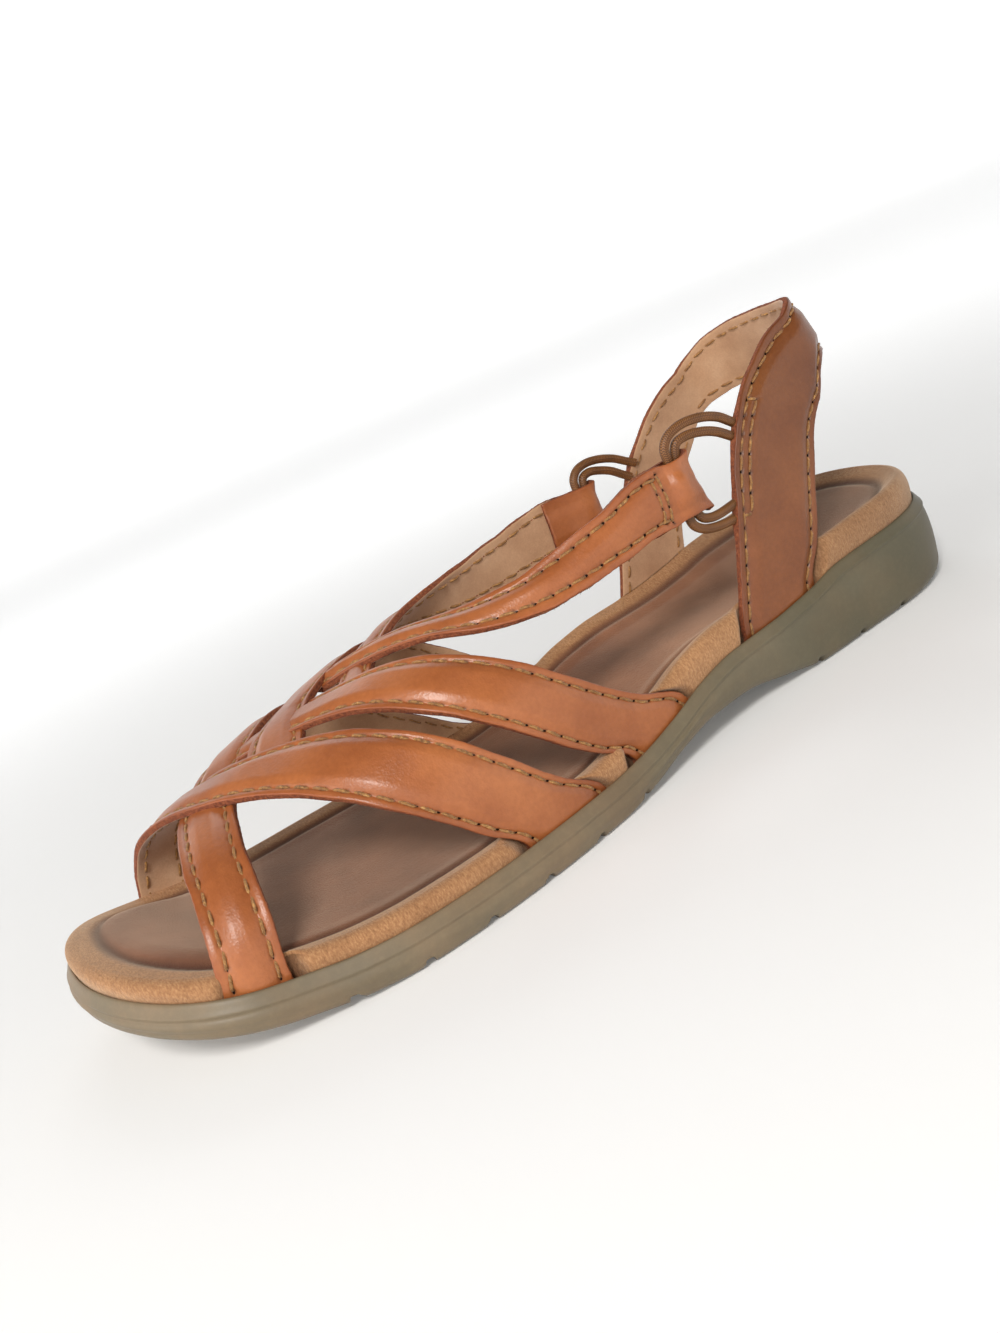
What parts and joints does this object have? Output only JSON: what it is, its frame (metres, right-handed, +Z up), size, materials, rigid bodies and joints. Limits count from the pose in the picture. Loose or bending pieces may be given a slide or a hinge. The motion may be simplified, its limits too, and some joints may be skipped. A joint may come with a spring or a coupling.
{
  "type": "fisherman sandal",
  "caption": "Left woven-strap fisherman sandal with a slingback held by elastic loops, a dished suede footbed and a moulded rubber sole.",
  "frame": {"origin": "middle of the sandal's bounding box, on the ground under the sole", "axes": "+X towards the heel and -X towards the toe, +Y towards the medial side and -Y towards the lateral side, +Z up"},
  "size_m": [0.2568, 0.0902, 0.0862],
  "materials": {
    "sole_rubber": "semi-matte moulded rubber, grey-olive",
    "footbed_suede": "napped suede, matte",
    "tan_leather": "smooth semi-gloss tan leather with a fine grain",
    "elastic_cord": "braided round elastic"
  },
  "bodies": {
    "root": {"outsole": "sole_rubber", "footbed": "footbed_suede", "upper": "tan_leather", "back_strap": "tan_leather", "elastic_lateral_outer": "elastic_cord", "elastic_lateral_inner": "elastic_cord", "elastic_medial_outer": "elastic_cord", "elastic_medial_inner": "elastic_cord"}
  },
  "joints": []
}
